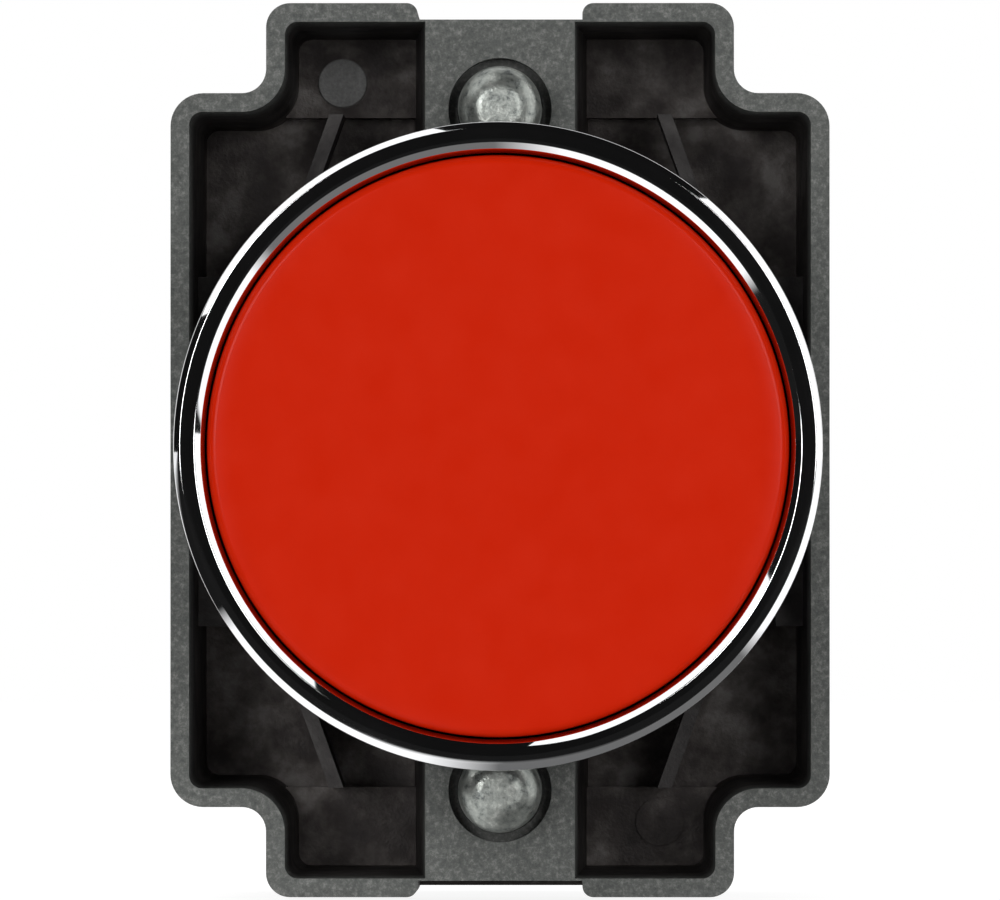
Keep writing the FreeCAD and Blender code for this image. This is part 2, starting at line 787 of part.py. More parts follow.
def bridge(side):
    """Moving contact: a flat bar with a round contact button near each end."""
    body = new_body(side + "_bridge")
    _, _, front = window(side)
    back = front + " + bridge_thick"
    bar = rectangle("mid_x - bridge_half_width", "mid_x + bridge_half_width",
                    "0 - bridge_half_height", "bridge_half_height")
    pad(body, "bar", front, back, [bar])
    buttons = above_and_below("mid_x", "button_height", "button_radius")
    if side == "nc":
        pad(body, "contacts", front + " - button_thick", front, [], buttons)
    else:
        pad(body, "contacts", back, back + " + button_thick", [], buttons)
    turned_block(body, side)


def fixed_contact(side, end):
    """Bent strip from the contact button, up the partition, to the terminal plate."""
    body = new_body("%s_fixed_contact_%s" % (side, end))
    modelled_above = (end == "upper") == (TURNS[side] == 0)
    pick = 0 if modelled_above else 1
    front = arm_front(side)
    left = "mid_x - strip_half_width"
    right = "mid_x + strip_half_width"
    riser_inner = "riser_outer - strip_thick"
    arm = both_ends(rectangle(left, right, "strip_tip", "riser_outer"))[pick]
    pad(body, "arm", front, front + " + strip_thick", [arm])
    riser = both_ends(rectangle(left, right, riser_inner, "riser_outer"))[pick]
    pad(body, "riser", front, "terminal_back", [riser])
    left = "terminal_x - terminal_half_width"
    right = "terminal_x + terminal_half_width"
    plate = both_ends(rectangle(left, right, riser_inner, "terminal_end"))[pick]
    pad(body, "terminal", "terminal_front", "terminal_back", [plate])
    button = above_and_below("mid_x", "button_height", "button_radius")[pick]
    face = contact_face(side)
    if side == "nc":
        pad(body, "contact", face + " - button_thick", face, [], [button])
    else:
        pad(body, "contact", face, face + " + button_thick", [], [button])
    hole = above_and_below("terminal_x", "terminal_height", "terminal_thread")[pick]
    pocket(body, "thread", "terminal_front", "terminal_back", [], [hole])
    turned_block(body, side)


def terminal(side, end):
    """Terminal screw and the square saddle under its head that grips the wire."""
    at_x = on_its_side("terminal_x", side)
    at_z = "terminal_height" if end == "upper" else negative("terminal_height")
    screw("%s_terminal_screw_%s" % (side, end), "terminal_back - terminal_screw_reach",
          "saddle_back", "terminal_radius", "terminal_head_radius", "terminal_head_thick",
          "terminal_slot", "small_tip_bevel", at_x, at_z)
    body = new_body("%s_saddle_%s" % (side, end))
    plate = rectangle("0 - terminal_half_width", "terminal_half_width",
                      "0 - saddle_half_height", "saddle_half_height")
    pad(body, "plate", "saddle_front", "saddle_back", [plate], [("0", "0", "terminal_thread")])
    body.setExpression("Placement.Base.x", bound(at_x))
    body.setExpression("Placement.Base.z", bound(at_z))


def contact_block(side):
    """All the pieces of one contact block."""
    block_housing(side)
    block_cover(side)
    plunger(side)
    bridge(side)
    for end in ("upper", "lower"):
        fixed_contact(side, end)
        terminal(side, end)
    at_x = on_its_side("mid_x", side)
    window_front, window_back, bridge_front = window(side)
    bridge_back = bridge_front + " + bridge_thick"
    seats = (bridge_back, window_back) if side == "nc" else (window_front, bridge_front)
    coil(side + "_contact_spring", "contact_spring", *seats, at_x)
    coil(side + "_plunger_spring", "block_spring", "carriage_back", "cover_front", at_x)
    screw(side + "_mounting_screw", "collar_back - mount_reach", "block_back", "mount_radius",
          "mount_head_radius", "mount_head_thick", "mount_slot", "small_tip_bevel",
          on_its_side("mount_x", side), "0")


def check_and_export():
    """Stop on any failed object or bad shape, then write one STEP file for each part."""
    document.recompute()
    for item in document.Objects:
        if "Invalid" in item.State or "Error" in item.State:
            raise RuntimeError("%s did not build: %s" % (item.Label, item.State))
    for part in PARTS:
        if part.Shape.isNull() or not part.Shape.isValid():
            raise RuntimeError("%s has a bad shape" % part.Label)
        if len(part.Shape.Solids) != 1:
            raise RuntimeError("%s has %d solids" % (part.Label, len(part.Shape.Solids)))
    os.makedirs("parts", exist_ok=True)
    for part in PARTS:
        part.Shape.exportStep("parts/%s.step" % part.Label)
        print("%-26s %9.2f mm3" % (part.Label, part.Shape.Volume))


SHEET = driving_sheet()
bezel_barrel()
ring("panel_gasket", "gasket_inner", "gasket_outer", "0 - gasket_thick", "0")
ring("wiper_seal", "seal_inner", "seal_outer", "0 - cup_floor - seal_thick", "0 - cup_floor")
coil("return_spring", "spring", "spring_front", "flange_front", "0")
button_cap()
push_stem()
ring("push_foot", "foot_bore", "foot_radius", "foot_front", "foot_back")
stem_clip()
fixing_collar()
clamp_screw("top", "clamp_height")
clamp_screw("bottom", negative("clamp_height"))
for side_name in TURNS:
    contact_block(side_name)
check_and_export()
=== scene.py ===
import json
import logging
import math
from dataclasses import dataclass, field
from enum import Enum

import bmesh
import bpy
from mathutils import Matrix, Vector

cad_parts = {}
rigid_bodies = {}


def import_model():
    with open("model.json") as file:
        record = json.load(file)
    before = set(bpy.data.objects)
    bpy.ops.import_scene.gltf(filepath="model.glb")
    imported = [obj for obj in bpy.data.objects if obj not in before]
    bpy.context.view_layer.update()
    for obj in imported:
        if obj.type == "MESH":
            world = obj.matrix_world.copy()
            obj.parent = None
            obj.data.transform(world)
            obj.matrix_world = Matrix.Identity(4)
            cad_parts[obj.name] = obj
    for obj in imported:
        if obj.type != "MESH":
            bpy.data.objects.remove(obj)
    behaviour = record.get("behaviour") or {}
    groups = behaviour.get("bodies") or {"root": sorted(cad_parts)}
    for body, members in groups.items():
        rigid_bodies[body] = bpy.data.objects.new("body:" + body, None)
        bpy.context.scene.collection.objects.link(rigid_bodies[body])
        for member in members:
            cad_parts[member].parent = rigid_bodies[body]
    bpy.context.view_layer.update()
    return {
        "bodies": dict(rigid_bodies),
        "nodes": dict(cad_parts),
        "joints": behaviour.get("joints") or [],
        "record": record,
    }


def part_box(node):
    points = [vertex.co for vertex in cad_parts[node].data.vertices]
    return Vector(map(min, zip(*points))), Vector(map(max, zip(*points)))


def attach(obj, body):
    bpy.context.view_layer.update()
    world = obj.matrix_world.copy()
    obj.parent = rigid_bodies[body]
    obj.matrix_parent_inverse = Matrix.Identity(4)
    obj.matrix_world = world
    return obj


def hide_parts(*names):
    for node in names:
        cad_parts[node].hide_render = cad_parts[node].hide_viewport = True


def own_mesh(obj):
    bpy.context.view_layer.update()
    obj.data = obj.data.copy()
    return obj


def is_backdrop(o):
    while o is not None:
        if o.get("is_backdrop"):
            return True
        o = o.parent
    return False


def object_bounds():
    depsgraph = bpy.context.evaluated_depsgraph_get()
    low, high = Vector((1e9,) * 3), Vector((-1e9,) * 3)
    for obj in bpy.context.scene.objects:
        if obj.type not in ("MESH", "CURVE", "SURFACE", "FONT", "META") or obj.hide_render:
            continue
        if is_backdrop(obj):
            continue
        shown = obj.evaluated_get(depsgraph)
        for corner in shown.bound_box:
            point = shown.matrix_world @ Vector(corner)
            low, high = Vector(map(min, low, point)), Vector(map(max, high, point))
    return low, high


# Flush red stop push-button: chromed head, die-cast fixing collar, two contact blocks.
# Sizes are in millimetres and are brought to metres when a piece is finished.
# X right, Z up, Y into the panel, with the panel's front face at Y 0.

LOG = logging.getLogger("stop_button")
MM = 0.001
DEPTH_AXIS = Vector((0.0, 1.0, 0.0))
CENTRE = Vector((0.0, 0.0, 0.0))
Profile = list[tuple[float, float]]

# Points closer than this are one point.
MERGE = 1e-5
# Facets across a rounded corner, round a washer, along one turn of wire and round the wire.
ROUND_SEGMENTS = 5
RING_STEPS = 160
TURN_STEPS = 60
WIRE_FACETS = 14
# A thread's depth, and where along its pitch it is at its crest or root, in shares of the pitch.
THREAD_DEPTH = 0.61
THREAD_FORM = ((0.38, True), (0.50, True), (0.88, False), (1.0, False))


class Slot(Enum):
    """Material slots of the record that new pieces take their finish from."""

    CHROME = "bright_chrome"
    RUBBER = "black_rubber"
    SPRING = "spring_steel"
    RED = "red_plastic"
    BLACK = "black_plastic"
    CASTING = "die_cast_zinc"
    PLATED = "zinc_plated_steel"
    BLOCK = "block_plastic"
    RED_PLUNGER = "red_plunger_plastic"
    GREEN_PLUNGER = "green_plunger_plastic"
    BRASS = "contact_brass"


class Side(Enum):
    """The two contact blocks: the value is the sign of the side of the axis each is on."""

    NC = -1
    NO = 1

    @property
    def prefix(self) -> str:
        """The start of the names of this block's nodes."""
        return self.name.lower() + "_"


# ---------------------------------------------------------------- finishes


class Recipe:
    """A node tree for one finish, written through short calls."""

    def __init__(self, name: str) -> None:
        """Start an empty material.

        Args:
            name: Name of the material.
        """
        self.material = bpy.data.materials.new(name)
        self.material.use_nodes = True
        self.tree = self.material.node_tree
        self.shader = self.tree.nodes["Principled BSDF"]
        self.place = self.node("ShaderNodeTexCoord").outputs["Object"]

    def node(self, kind: str, **settings: object) -> bpy.types.Node:
        """Add a node and set its plain properties.

        Args:
            kind: Blender's name of the node type.
            **settings: Property names and their values.

        Returns:
            The new node.
        """
        made = self.tree.nodes.new(kind)
        for name, value in settings.items():
            setattr(made, name, value)
        return made

    def fixed(self, **values: object) -> None:
        """Set constants on the shader's own sockets.

        Args:
            **values: Socket names, with underscores for spaces, and their values.
        """
        for name, value in values.items():
            self.shader.inputs[name.replace("_", " ")].default_value = value

    def noise(self, size: float, detail: float = 3.0,
              roughness: float = 0.5) -> bpy.types.NodeSocket:
        """A cloudy pattern in the piece's own place.

        Args:
            size: Rough size of one cloud, in millimetres.
            detail: Number of finer layers.
            roughness: Weight of the finer layers.

        Returns:
            The pattern's value, from 0 to 1.
        """
        made = self.node("ShaderNodeTexNoise")
        made.inputs["Scale"].default_value = 1.0 / (size * MM)
        made.inputs["Detail"].default_value = detail
        made.inputs["Roughness"].default_value = roughness
        self.tree.links.new(self.place, made.inputs["Vector"])
        return made.outputs["Fac"]

    def ramp(self, value: bpy.types.NodeSocket,
             stops: list[tuple[float, tuple[float, float, float]]]) -> bpy.types.NodeSocket:
        """Colours along a value.

        Args:
            value: What picks the colour.
            stops: Places from 0 to 1, with a linear colour at each.

        Returns:
            The colour.
        """
        made = self.node("ShaderNodeValToRGB")
        elements = made.color_ramp.elements
        while len(elements) < len(stops):
            elements.new(0.5)
        for element, (place, colour) in zip(elements, stops):
            element.position = place
            element.color = (*colour, 1.0)
        self.tree.links.new(value, made.inputs["Fac"])
        return made.outputs["Color"]

    def span(self, value: bpy.types.NodeSocket, low: float, high: float) -> bpy.types.NodeSocket:
        """Bring the middle of a 0 to 1 pattern to a range.

        Args:
            value: The pattern.
            low: Result where the pattern is at its usual lowest.
            high: Result where the pattern is at its usual highest.

        Returns:
            The value in its new range.
        """
        made = self.node("ShaderNodeMapRange")
        ends = (("From Min", 0.3), ("From Max", 0.7), ("To Min", low), ("To Max", high))
        for name, number in ends:
            made.inputs[name].default_value = number
        self.tree.links.new(value, made.inputs["Value"])
        return made.outputs["Result"]

    def depth(self, zero: float, one: float) -> bpy.types.NodeSocket:
        """How far a point lies between two depths.

        Args:
            zero: Depth where the result is 0, in millimetres.
            one: Depth where the result is 1, in millimetres.

        Returns:
            The share, held between 0 and 1.
        """
        parts = self.node("ShaderNodeSeparateXYZ")
        self.tree.links.new(self.place, parts.inputs["Vector"])
        made = self.node("ShaderNodeMapRange", interpolation_type="SMOOTHSTEP")
        made.inputs["From Min"].default_value = min(zero, one) * MM
        made.inputs["From Max"].default_value = max(zero, one) * MM
        made.inputs["To Min"].default_value = float(zero > one)
        made.inputs["To Max"].default_value = float(zero < one)
        self.tree.links.new(parts.outputs["Y"], made.inputs["Value"])
        return made.outputs["Result"]

    def spot(self, x: float, z: float, radius: float, soft: float) -> bpy.types.NodeSocket:
        """A round patch seen along the axis.

        Args:
            x: Place of its middle along X, in millimetres.
            z: Place of its middle along Z, in millimetres.
            radius: Radius of the patch, in millimetres.
            soft: Width of its soft edge, in millimetres.

        Returns:
            1 inside the patch and 0 outside it.
        """
        flat = self.node("ShaderNodeVectorMath", operation="MULTIPLY")
        flat.inputs[1].default_value = (1.0, 0.0, 1.0)
        self.tree.links.new(self.place, flat.inputs[0])
        away = self.node("ShaderNodeVectorMath", operation="DISTANCE")
        away.inputs[1].default_value = (x * MM, 0.0, z * MM)
        self.tree.links.new(flat.outputs["Vector"], away.inputs[0])
        made = self.node("ShaderNodeMapRange", interpolation_type="SMOOTHSTEP")
        made.inputs["From Min"].default_value = radius * MM
        made.inputs["From Max"].default_value = (radius + soft) * MM
        made.inputs["To Min"].default_value = 1.0
        made.inputs["To Max"].default_value = 0.0
        self.tree.links.new(away.outputs["Value"], made.inputs["Value"])
        return made.outputs["Result"]

    def blend(self, share: bpy.types.NodeSocket, first: bpy.types.NodeSocket,
              second: bpy.types.NodeSocket) -> bpy.types.NodeSocket:
        """One colour where the share is 0, another where it is 1.

        Args:
            share: What mixes them.
            first: The colour at 0.
            second: The colour at 1.

        Returns:
            The mixed colour.
        """
        made = self.node("ShaderNodeMix", data_type="RGBA")
        for name, socket in (("Factor", share), ("A", first), ("B", second)):
            self.tree.links.new(socket, made.inputs[name])
        return made.outputs["Result"]

    def bump(self, height: bpy.types.NodeSocket, depth: float, strength: float) -> None:
        """Raise the surface by a pattern, on top of any earlier bump.

        Args:
            height: The pattern.
            depth: Height of the pattern, in millimetres.
            strength: Share of the effect to show.
        """
        made = self.node("ShaderNodeBump")
        made.inputs["Distance"].default_value = depth * MM
        made.inputs["Strength"].default_value = strength
        self.tree.links.new(height, made.inputs["Height"])
        earlier = self.shader.inputs["Normal"].links
        if earlier:
            self.tree.links.new(earlier[0].from_socket, made.inputs["Normal"])
        self.tree.links.new(made.outputs["Normal"], self.shader.inputs["Normal"])

    def paint(self, socket: str, value: bpy.types.NodeSocket) -> None:
        """Link a pattern to one of the shader's sockets.

        Args:
            socket: Name of the socket.
            value: The pattern.
        """
        self.tree.links.new(value, self.shader.inputs[socket])


@dataclass(frozen=True)
class Finish:
    """A finish that varies gently in colour and gloss over a fine surface texture."""

    slot: Slot
    dark: tuple[float, float, float]
    light: tuple[float, float, float]
    metallic: float
    smoothest: float
    roughest: float
    cloud: float
    grain: float
    grain_depth: float
    specular: float = 0.5

    def material(self) -> bpy.types.Material:
        """The finish as a Blender material."""
        recipe = Recipe(self.slot.value)
        clouds = recipe.noise(self.cloud, detail=5.0, roughness=0.6)
        grain = recipe.noise(self.grain, detail=2.0)
        recipe.paint("Base Color", recipe.ramp(clouds, [(0.3, self.dark), (0.7, self.light)]))
        recipe.paint("Roughness", recipe.span(clouds, self.smoothest, self.roughest))
        recipe.fixed(Metallic=self.metallic, Specular_IOR_Level=self.specular)
        recipe.bump(grain, self.grain_depth, 1.0)
        self.extra(recipe)
        return recipe.material

    def extra(self, recipe: Recipe) -> None:
        """Whatever else a finish has; nothing on a plain one.

        Args:
            recipe: The finish's node tree.
        """


@dataclass(frozen=True)
class CastFinish(Finish):
    """Die-cast zinc: dark, with paler flow marks, stains, a slightly orange-peel skin and painted
    shade in the pans.
    """

    peel: float = 0.7
    peel_depth: float = 0.04
    flow: float = 2.6
    speck: float = 0.22
    rim_start: float = 6.8
    rim_end: float = 9.5
    wall_end: float = 14.6
    floor_start: float = 15.7
    mark: tuple[float, float, float] = (-7.3, 17.0, 1.05)
    mark_end: float = 16.0

    def extra(self, recipe: Recipe) -> None:
        """Floor and walls darker with depth, partly their own dark tone and partly painted shade; a
        paler rim and ejector mark, and a coarse skin.

        Args:
            recipe: The finish's node tree.
        """
        flow = recipe.noise(self.flow, detail=7.0, roughness=0.62)
        # Pan floors: the casting's own mottled dark tone, set darker than the rim partly as painted
        # shade of the deep recesses.
        deep_tone_and_shade = recipe.ramp(flow, [
            (0.34, (0.014, 0.009, 0.008)), (0.46, (0.032, 0.024, 0.022)),
            (0.56, (0.072, 0.061, 0.056)), (0.68, (0.150, 0.138, 0.131)),
        ])
        # Pan walls: darker again, partly their own tone and partly painted shade of the recesses.
        wall_tone_and_shade = recipe.ramp(flow, [(0.36, (0.014, 0.011, 0.011)), (0.68, (0.060, 0.055, 0.053))])
        deep_tone_and_shade = recipe.blend(recipe.depth(self.wall_end, self.floor_start), wall_tone_and_shade, deep_tone_and_shade)
        fine = recipe.noise(self.speck, detail=5.0, roughness=0.75)
        pale = recipe.ramp(fine, [(0.30, (0.130, 0.130, 0.128)), (0.70, (0.230, 0.230, 0.226))])
        marked = recipe.blend(recipe.spot(*self.mark, soft=0.12), deep_tone_and_shade, pale)
        deep_tone_and_shade = recipe.blend(recipe.depth(self.mark_end + 0.3, self.mark_end), deep_tone_and_shade, marked)
        rim = recipe.ramp(fine, [
            (0.32, (0.062, 0.068, 0.064)), (0.52, (0.112, 0.117, 0.110)),
            (0.70, (0.230, 0.232, 0.222)),
        ])
        # Paler at the front rim and darker with depth: partly the casting's own tone, partly
        # painted shade.
        front = recipe.depth(self.rim_end, self.rim_start)
        recipe.paint("Base Color", recipe.blend(front, deep_tone_and_shade, rim))
        recipe.bump(recipe.noise(self.peel, detail=3.0), self.peel_depth, 0.5)


@dataclass(frozen=True)
class PlatedFinish(Finish):
    """Zinc plating on steel: pale and fairly dull, with small pits and worn patches."""

    pit: float = 0.42
    pit_depth: float = 0.05
    patch: float = 0.55
    pitted: tuple[float, float, float] = (0.12, 0.13, 0.13)
    bare: tuple[float, float, float] = (0.72, 0.74, 0.70)

    def extra(self, recipe: Recipe) -> None:
        """Pits, and patches where the plating is worn paler or duller.

        Args:
            recipe: The finish's node tree.
        """
        worn = recipe.noise(self.patch, detail=6.0, roughness=0.7)
        recipe.paint("Base Color", recipe.ramp(worn, [
            (0.34, self.pitted), (0.44, self.dark), (0.60, self.light), (0.72, self.bare),
        ]))
        recipe.bump(recipe.noise(self.pit, detail=4.0, roughness=0.6), self.pit_depth, 0.7)


FINISHES: dict[Slot, Finish] = {
    finish.slot: finish
    for finish in (
        Finish(Slot.CHROME, dark=(0.80, 0.81, 0.82), light=(0.86, 0.86, 0.87), metallic=1.0,
               smoothest=0.03, roughest=0.06, cloud=6.0, grain=3.0, grain_depth=0.0010),
        Finish(Slot.RUBBER, dark=(0.010, 0.010, 0.010), light=(0.018, 0.018, 0.018), metallic=0.0,
               smoothest=0.65, roughest=0.85, cloud=2.0, grain=0.15, grain_depth=0.01),
        Finish(Slot.SPRING, dark=(0.42, 0.42, 0.44), light=(0.52, 0.52, 0.54), metallic=1.0,
               smoothest=0.22, roughest=0.34, cloud=1.5, grain=0.1, grain_depth=0.002),
        Finish(Slot.RED, dark=(0.575, 0.0140, 0.0002), light=(0.600, 0.0160, 0.0004), metallic=0.0,
               smoothest=0.20, roughest=0.25, cloud=1.8, grain=0.10, grain_depth=0.0004,
               specular=0.10),
        Finish(Slot.BLACK, dark=(0.012, 0.012, 0.013), light=(0.020, 0.020, 0.021), metallic=0.0,
               smoothest=0.38, roughest=0.50, cloud=2.5, grain=0.12, grain_depth=0.005),
        CastFinish(Slot.CASTING, dark=(0.05, 0.05, 0.05), light=(0.12, 0.12, 0.12), metallic=0.30,
                   smoothest=0.45, roughest=0.65, cloud=1.6, grain=0.14, grain_depth=0.02),
        PlatedFinish(Slot.PLATED, dark=(0.30, 0.32, 0.30), light=(0.44, 0.46, 0.43), metallic=0.85,
                     smoothest=0.26, roughest=0.44, cloud=0.9, grain=0.10, grain_depth=0.004),
        Finish(Slot.BLOCK, dark=(0.013, 0.013, 0.014), light=(0.024, 0.024, 0.025), metallic=0.0,
               smoothest=0.36, roughest=0.52, cloud=3.0, grain=0.11, grain_depth=0.010),
        Finish(Slot.RED_PLUNGER, dark=(0.45, 0.014, 0.006), light=(0.52, 0.020, 0.008),
               metallic=0.0, smoothest=0.34, roughest=0.44, cloud=1.5, grain=0.1,
               grain_depth=0.004),
        Finish(Slot.GREEN_PLUNGER, dark=(0.010, 0.20, 0.045), light=(0.014, 0.25, 0.060),
               metallic=0.0, smoothest=0.34, roughest=0.44, cloud=1.5, grain=0.1,
               grain_depth=0.004),
        Finish(Slot.BRASS, dark=(0.60, 0.40, 0.14), light=(0.72, 0.50, 0.20), metallic=1.0,
               smoothest=0.20, roughest=0.34, cloud=1.2, grain=0.09, grain_depth=0.003),
    )
}


# ---------------------------------------------------------------- workshop


@dataclass
class Workshop:
    """Turns sketches and CAD meshes into finished pieces."""

    frame: dict
    materials: dict[Slot, bpy.types.Material] = field(default_factory=dict)
    sharp_angle: float = 32.0
    flat_angle: float = 0.5
    round_angle: float = 40.0

    def __post_init__(self) -> None:
        """Mix every finish and give it to the CAD nodes that name its slot."""
        self.materials = {slot: finish.material() for slot, finish in FINISHES.items()}
        for name, node in self.frame["nodes"].items():
            node.data.materials.clear()
            node.data.materials.append(self.materials[self.slot_of(name)])

    def slot_of(self, node: str) -> Slot:
        """The material slot that the record gives a CAD node.

        Args:
            node: The CAD node.

        Returns:
            Its slot.
        """
        rows = self.frame["record"]["subparts"]
        return Slot(next(row["material_slot"] for row in rows if row["node"] == node))

    def body_of(self, node: str) -> str:
        """The body that a CAD node belongs to.

        Args:
            node: The CAD node.

        Returns:
            The body's name.
        """
        bodies = self.frame["record"]["behaviour"]["bodies"]
        return next(body for body, members in bodies.items() if node in members)

    def travel(self, joint: str) -> float:
        """How far a sliding joint goes.

        Args:
            joint: The joint.

        Returns:
            The far end of its range, in metres.
        """
        return next(row for row in self.frame["joints"] if row["name"] == joint)["range_m"][1]

    def finish(self, mesh: bmesh.types.BMesh, node: str, scale: float = MM,
               body: str | None = None) -> bpy.types.Object:
        """Make a mesh the visible piece for a CAD node.

        Args:
            mesh: The shape; it is freed here.
            node: The CAD node that the piece stands for.
            scale: Metres in one unit of the mesh.
            body: The body to ride on, where it isn't the node's own.

        Returns:
            The piece, riding on its body with its node's finish.
        """
        bmesh.ops.scale(mesh, vec=Vector((scale, scale, scale)), verts=mesh.verts)
        data = bpy.data.meshes.new(node + "_piece")
        mesh.to_mesh(data)
        mesh.free()
        data.polygons.foreach_set("use_smooth", [True] * len(data.polygons))
        data.set_sharp_from_angle(angle=math.radians(self.sharp_angle))
        data.materials.append(self.materials[self.slot_of(node)])
        piece = bpy.data.objects.new(node + "_piece", data)
        bpy.context.scene.collection.objects.link(piece)
        weights = piece.modifiers.new("flat_faces_stay_flat", "WEIGHTED_NORMAL")
        weights.keep_sharp = True
        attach(piece, body or self.body_of(node))
        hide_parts(node)
        LOG.info("%s: %d faces", piece.name, len(data.polygons))
        return piece

    def copy_of(self, node: str) -> bmesh.types.BMesh:
        """A merged copy of a CAD node's mesh.

        Args:
            node: The CAD node.

        Returns:
            The copy, in metres.
        """
        mesh = bmesh.new()
        mesh.from_mesh(self.frame["nodes"][node].data)
        bmesh.ops.remove_doubles(mesh, verts=mesh.verts, dist=1e-7)
        return mesh

    def softened(self, node: str, width: float, segments: int = 2) -> bpy.types.Object:
        """A CAD node with a small round on its sharp edges.

        Args:
            node: The CAD node to copy.
            width: Width of the round, in millimetres.
            segments: Facets across the round.

        Returns:
            The finished piece.
        """
        mesh = self.copy_of(node)
        bmesh.ops.dissolve_limit(mesh, angle_limit=math.radians(self.flat_angle),
                                 verts=mesh.verts, edges=mesh.edges)
        piece = self.finish(mesh, node, scale=1.0)
        bevel = piece.modifiers.new("edge_rounds", "BEVEL")
        piece.modifiers.move(1, 0)
        bevel.width = width * MM
        bevel.segments = segments
        bevel.limit_method = "ANGLE"
        bevel.angle_limit = math.radians(self.round_angle)
        bevel.use_clamp_overlap = True
        return piece


def turned(profile: Profile, steps: int, closed: bool = True,
           rounds: dict[int, float] | None = None) -> bmesh.types.BMesh:
    """Turn a profile once round the button's axis.

    Args:
        profile: Points as (radius, depth).
        steps: Number of steps round.
        closed: Whether the last point joins the first; if not, the profile ends on the axis.
        rounds: Radii of the corners to round, by the number of the point.

    Returns:
        The turned solid.
    """
    mesh = bmesh.new()
    corners = [mesh.verts.new((radius, depth, 0.0)) for radius, depth in profile]
    following = corners[1:] + corners[:1] if closed else corners[1:]
    for start, end in zip(corners, following):
        mesh.edges.new((start, end))
    for index, radius in (rounds or {}).items():
        bmesh.ops.bevel(mesh, geom=[corners[index]], offset=radius, offset_type="OFFSET",
                        segments=ROUND_SEGMENTS, profile=0.5, affect="VERTICES", material=-1)
    bmesh.ops.spin(mesh, geom=mesh.verts[:] + mesh.edges[:], cent=CENTRE, axis=DEPTH_AXIS,
                   angle=math.tau, steps=steps, use_merge=True)
    bmesh.ops.remove_doubles(mesh, verts=mesh.verts, dist=MERGE)
    bmesh.ops.recalc_face_normals(mesh, faces=mesh.faces)
    return mesh


def moved(mesh: bmesh.types.BMesh, x: float, z: float) -> bmesh.types.BMesh:
    """Move a turned solid off the button's axis.

    Args:
        mesh: The solid.
        x: How far to the right.
        z: How far up.

    Returns:
        The same solid, moved.
    """
    bmesh.ops.translate(mesh, verts=mesh.verts, vec=Vector((x, 0.0, z)))
    return mesh


def block(low: tuple[float, float, float], high: tuple[float, float, float]) -> bmesh.types.BMesh:
    """A box to cut with.

    Args:
        low: Its lowest corner.
        high: Its highest corner.

    Returns:
        The box.
    """
    mesh = bmesh.new()
    size = Vector(high) - Vector(low)
    bmesh.ops.create_cube(mesh, size=1.0)
    bmesh.ops.scale(mesh, vec=size, verts=mesh.verts)
    bmesh.ops.translate(mesh, vec=Vector(low) + size / 2, verts=mesh.verts)
    return mesh


def ring_sector(inner: float, outer: float, front: float, back: float,
                start: float, sweep: float) -> bmesh.types.BMesh:
    """Part of a ring, to cut with.

    Args:
        inner: Inner radius.
        outer: Outer radius.
        front: Front depth.
        back: Back depth.
        start: First angle about the axis, in degrees.
        sweep: Angle covered, in degrees.

    Returns:
        The closed sector.
    """
    mesh = bmesh.new()
    corners = [(inner, front), (outer, front), (outer, back), (inner, back)]
    section = mesh.faces.new([mesh.verts.new((radius, depth, 0.0)) for radius, depth in corners])
    bmesh.ops.rotate(mesh, verts=mesh.verts, cent=CENTRE,
                     matrix=Matrix.Rotation(math.radians(start), 3, "Y"))
    bmesh.ops.spin(mesh, geom=[section, *section.edges, *section.verts], cent=CENTRE,
                   axis=DEPTH_AXIS, angle=math.radians(sweep), steps=max(6, round(sweep / 2)))
    bmesh.ops.recalc_face_normals(mesh, faces=mesh.faces)
    return mesh


def cut(mesh: bmesh.types.BMesh, cutters: list[bmesh.types.BMesh]) -> bmesh.types.BMesh:
    """Cut solids out of a solid.

    Args:
        mesh: The solid; it is freed here.
        cutters: What to take away; they are freed here.

    Returns:
        What is left.
    """
    def holder(shape: bmesh.types.BMesh) -> bpy.types.Object:
        """A throw-away object.

        Args:
            shape: Its shape; it is freed here.

        Returns:
            The object.
        """
        data = bpy.data.meshes.new("cutting")
        shape.to_mesh(data)
        shape.free()
        made = bpy.data.objects.new("cutting", data)
        bpy.context.scene.collection.objects.link(made)
        return made

    work = holder(mesh)
    tools = [holder(cutter) for cutter in cutters]
    for tool in tools:
        boolean = work.modifiers.new("cut", "BOOLEAN")
        boolean.operation = "DIFFERENCE"
        boolean.solver = "EXACT"
        boolean.object = tool
    depsgraph = bpy.context.evaluated_depsgraph_get()
    data = bpy.data.meshes.new_from_object(work.evaluated_get(depsgraph))
    result = bmesh.new()
    result.from_mesh(data)
    bmesh.ops.remove_doubles(result, verts=result.verts, dist=MERGE)
    for made in [work, *tools]:
        bpy.data.meshes.remove(made.data)
    bpy.data.meshes.remove(data)
    return result


